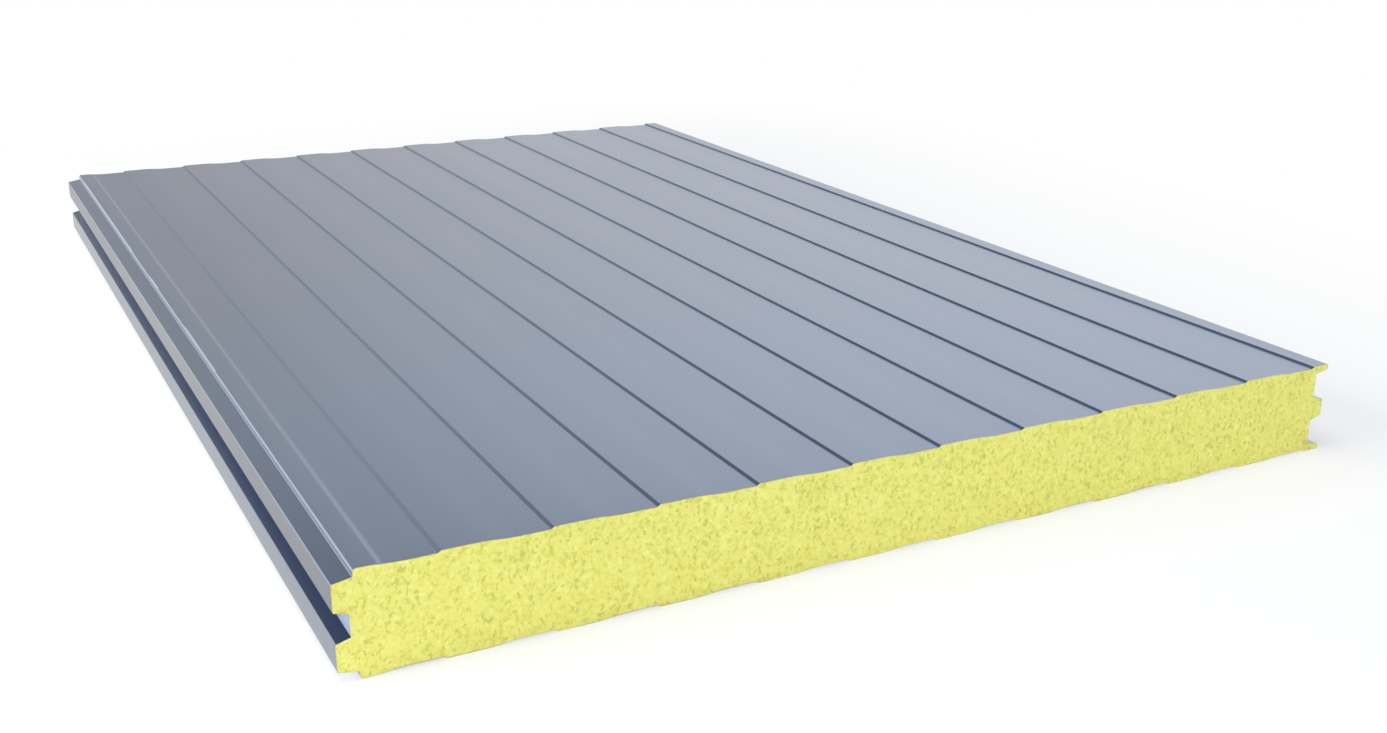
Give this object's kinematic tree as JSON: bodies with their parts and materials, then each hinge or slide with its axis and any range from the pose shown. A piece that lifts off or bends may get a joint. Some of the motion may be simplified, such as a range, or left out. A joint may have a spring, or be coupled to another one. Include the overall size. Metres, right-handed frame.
{
  "type": "insulated sandwich panel",
  "caption": "Insulated building panel with shallow-ribbed steel facings on a rigid foam core, and tongue-and-groove long edges.",
  "frame": {"origin": "centre of the panel's outline, level with the crests of the inner facing", "axes": "+X across the panel, towards the edge with the lips and the tongue; +Y along the panel and its ribs; +Z through the thickness, towards the outer facing"},
  "size_m": [1.1144, 1.69, 0.1],
  "materials": {
    "prepainted_steel": "satin coil coating, grey-blue",
    "rigid_foam": "cut foam with open cells, pale yellow",
    "edge_foil": "thin smooth foil tape"
  },
  "bodies": {
    "root": {"outer_facing": "prepainted_steel", "inner_facing": "prepainted_steel", "foam_core": "rigid_foam", "groove_foil": "edge_foil", "tongue_foil": "edge_foil"}
  },
  "joints": []
}
